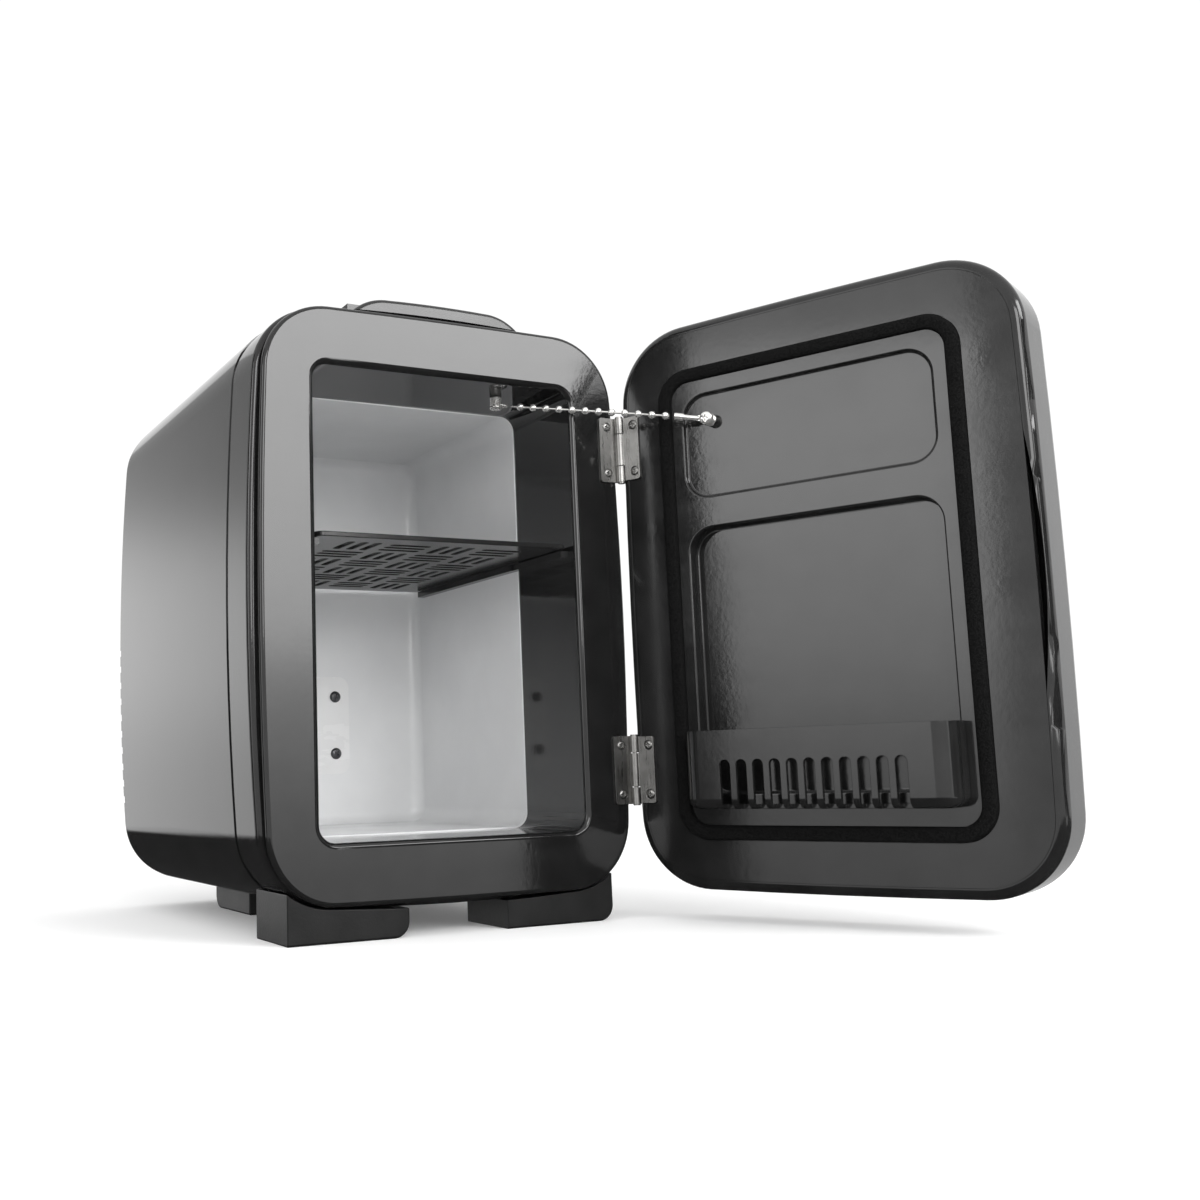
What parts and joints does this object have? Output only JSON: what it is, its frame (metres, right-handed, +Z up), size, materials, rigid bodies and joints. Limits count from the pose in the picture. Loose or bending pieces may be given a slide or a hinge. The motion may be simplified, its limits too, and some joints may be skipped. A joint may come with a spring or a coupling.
{
  "type": "mini fridge",
  "caption": "Small countertop cooler with a rounded glossy case, a chain-held hinged door with a bottle bin, a slatted shelf and a folding carry handle.",
  "frame": {"origin": "on the surface the feet stand on, midway across the cabinet, in the plane of its flat front", "axes": "+X to the right seen from the front, +Y from the front into the depth, +Z up; at rest the door stands open against its chain"},
  "size_m": [0.2883, 0.4, 0.2802],
  "materials": {
    "case_black": "high gloss moulded",
    "part_black": "semi gloss moulded",
    "trim_black": "fine grain",
    "foam_dark": "soft foam bead",
    "gasket_foam": "open cell foam strip",
    "insulation": "rigid foam",
    "liner_white": "satin white",
    "screw_dark": "black oxide",
    "aluminium": "extruded",
    "ceramic": "ceramic plate",
    "nickel": "nickel plated",
    "foot_grey": "satin",
    "board_green": "solder mask"
  },
  "bodies": {
    "cabinet": {"front_frame": "case_black", "front_seam": "foam_dark", "front_band": "case_black", "rear_shell": "case_black", "rear_cover": "case_black", "rear_cover_screws": "screw_dark", "inner_liner": "liner_white", "cabinet_foam": "insulation", "cold_plate": "liner_white", "cold_plate_screws": "screw_dark", "cold_block": "aluminium", "cooling_module": "ceramic", "heat_sink": "aluminium", "fan_frame": "trim_black", "shelf_rail_left": "part_black", "shelf_rail_right": "part_black", "hinge_cabinet_leaf_upper": "nickel", "hinge_cabinet_leaf_lower": "nickel", "hinge_pin_upper": "nickel", "hinge_pin_lower": "nickel", "hinge_cabinet_screws": "nickel", "chain_anchor_screw": "nickel", "handle_boss_left": "part_black", "handle_boss_right": "part_black", "handle_pin_left": "nickel", "handle_pin_right": "nickel", "foot_front_left": "foot_grey", "foot_front_right": "foot_grey", "foot_rear_left": "foot_grey", "foot_rear_right": "foot_grey", "switch_housing": "trim_black", "mains_inlet": "trim_black", "low_voltage_inlet": "trim_black", "control_board": "board_green"},
    "door": {"hinge_door_leaf_upper": "nickel", "hinge_door_leaf_lower": "nickel", "hinge_door_screws": "nickel", "door_shell": "case_black", "door_panel": "case_black", "door_gasket": "gasket_foam", "door_foam": "insulation", "door_bin": "case_black", "chain_door_screw": "nickel"},
    "shelf": {"shelf": "part_black"},
    "carry_handle": {"carry_handle": "part_black"},
    "fan_rotor": {"fan_rotor": "trim_black"},
    "switch_rocker": {"switch_rocker": "trim_black"},
    "chain_swivel": {"chain_swivel": "nickel"},
    "chain_link_1": {"chain_link_1": "nickel"},
    "chain_link_2": {"chain_link_2": "nickel"},
    "chain_link_3": {"chain_link_3": "nickel"},
    "chain_link_4": {"chain_link_4": "nickel"},
    "chain_clasp": {"chain_clasp": "nickel"}
  },
  "joints": [
    {"name": "door_hinge", "type": "hinge", "parent": "cabinet", "child": "door", "pos_m": [0.0902, -0.0024, 0.1425], "axis": [0, 0, 1], "range_deg": [-114.35, 0]},
    {"name": "shelf_slide", "type": "slide", "parent": "cabinet", "child": "shelf", "axis": [0, -1, 0], "range_m": [0, 0.12]},
    {"name": "handle_hinge", "type": "hinge", "parent": "cabinet", "child": "carry_handle", "pos_m": [0, 0.089, 0.2765], "axis": [-1, 0, 0], "range_deg": [0, 90]},
    {"name": "fan_spin", "type": "hinge", "parent": "cabinet", "child": "fan_rotor", "pos_m": [0, 0.212, 0.095], "axis": [0, 1, 0], "continuous": true},
    {"name": "rocker_hinge", "type": "hinge", "parent": "cabinet", "child": "switch_rocker", "pos_m": [0.046, 0.2243, 0.031], "axis": [-1, 0, 0], "range_deg": [0, 16]},
    {"name": "chain_swivel_turn", "type": "hinge", "parent": "cabinet", "child": "chain_swivel", "pos_m": [0.0375, 0.0225, 0.2405], "axis": [0, 0, 1], "range_deg": [-50.63, 0]},
    {"name": "chain_bend_1", "type": "hinge", "parent": "chain_swivel", "child": "chain_link_1", "pos_m": [0.04147, 0.01867, 0.23956], "axis": [-0.6938, -0.7201, 0], "range_deg": [-61.57, 0]},
    {"name": "chain_bend_2", "type": "hinge", "parent": "chain_link_1", "child": "chain_link_2", "pos_m": [0.05491, 0.00572, 0.23638], "axis": [-0.6938, -0.7201, 0], "range_deg": [-72.39, 0]},
    {"name": "chain_bend_3", "type": "hinge", "parent": "chain_link_2", "child": "chain_link_3", "pos_m": [0.06822, -0.0071, 0.23323], "axis": [-0.6938, -0.7201, 0], "range_deg": [0, 82.91]},
    {"name": "chain_bend_4", "type": "hinge", "parent": "chain_link_3", "child": "chain_link_4", "pos_m": [0.08153, -0.01993, 0.23008], "axis": [-0.6938, -0.7201, 0], "range_deg": [0, 113.63]},
    {"name": "chain_clasp_turn", "type": "hinge", "parent": "door", "child": "chain_clasp", "pos_m": [0.10805, -0.04547, 0.2238], "axis": [-0.911, -0.4123, 0], "range_deg": [0, 132.61]}
  ],
  "couplings": [
    {"joint": "chain_swivel_turn", "follows": "door_hinge", "ratio": 0.4384},
    {"joint": "chain_bend_1", "follows": "door_hinge", "ratio": 0.5341},
    {"joint": "chain_bend_2", "follows": "door_hinge", "ratio": 0.6287},
    {"joint": "chain_bend_3", "follows": "door_hinge", "ratio": -0.7207},
    {"joint": "chain_bend_4", "follows": "door_hinge", "ratio": -0.9893},
    {"joint": "chain_clasp_turn", "follows": "door_hinge", "ratio": -1.1553}
  ]
}
